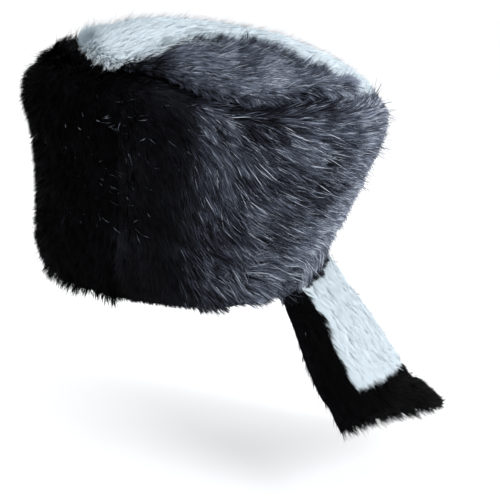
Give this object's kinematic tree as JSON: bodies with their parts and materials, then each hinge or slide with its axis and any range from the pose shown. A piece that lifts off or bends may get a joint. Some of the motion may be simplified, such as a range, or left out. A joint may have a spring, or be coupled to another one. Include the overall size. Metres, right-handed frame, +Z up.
{
  "type": "skunk cap",
  "caption": "Tall black fur hat with an open head hollow, a white stripe over the crown and a short striped tail that hangs from the back of the rim.",
  "frame": {"origin": "centre of the head opening, in the plane of the rim", "axes": "+Z up to the crown, the forehead faces -Y, the tail hangs at +Y, the wearer's left is +X"},
  "size_m": [0.2113, 0.3823, 0.3179],
  "materials": {
    "black_fur": "dense black fur with a soft blue-grey sheen and a few silver guard hairs",
    "white_fur": "fluffy white fur, faintly blue in the shade"
  },
  "bodies": {
    "root": {"front_panel": "black_fur", "side_band": "black_fur", "crown_left": "black_fur", "crown_stripe": "white_fur", "crown_right": "black_fur", "tail_left": "black_fur", "tail_stripe": "white_fur", "tail_right": "black_fur", "tail_tip": "black_fur"}
  },
  "joints": []
}
